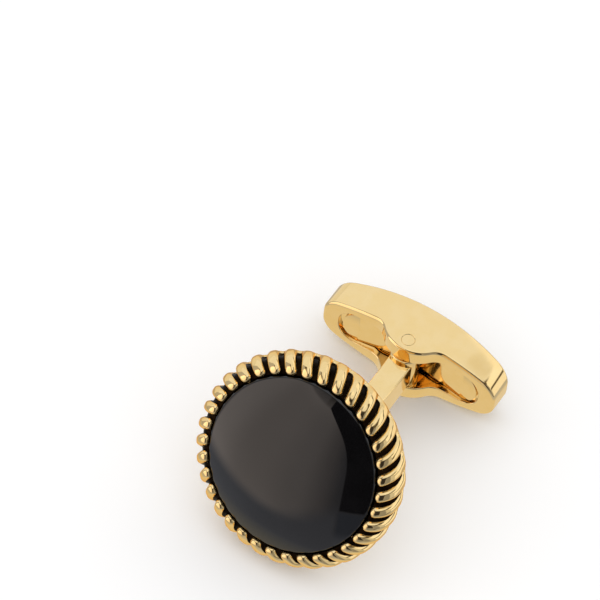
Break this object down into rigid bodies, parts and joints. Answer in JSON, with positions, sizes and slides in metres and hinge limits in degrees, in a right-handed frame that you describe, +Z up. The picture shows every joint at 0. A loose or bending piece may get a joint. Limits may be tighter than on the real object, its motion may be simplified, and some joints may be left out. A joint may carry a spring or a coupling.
{
  "type": "cufflink",
  "caption": "Round cufflink with a domed black stone in a spirally gadrooned gold rim, a curved flat post and a boat-shaped swivel toggle.",
  "frame": {"origin": "middle of the part's box in X and Y, on the plane that the part lies on", "axes": "+Z up from the plane that the part lies on, -Y the way the stone looks, X along the toggle"},
  "size_m": [0.0178, 0.0251, 0.0161],
  "materials": {
    "onyx": "polished",
    "gold": "polished gold plate",
    "enamel": "glossy dark enamel"
  },
  "bodies": {
    "face": {"stone": "onyx", "gadrooned_rim": "gold", "enamel_ring": "enamel", "cup_and_post": "gold"},
    "swivel": {"toggle": "gold", "hinge_pin": "gold", "leaf_spring": "gold"}
  },
  "joints": [
    {"name": "toggle_hinge", "type": "hinge", "parent": "face", "child": "swivel", "pos_m": [0, 0.00874, 0.00322], "axis": [0, 0, 1], "range_deg": [-81.15, 76.85]}
  ]
}
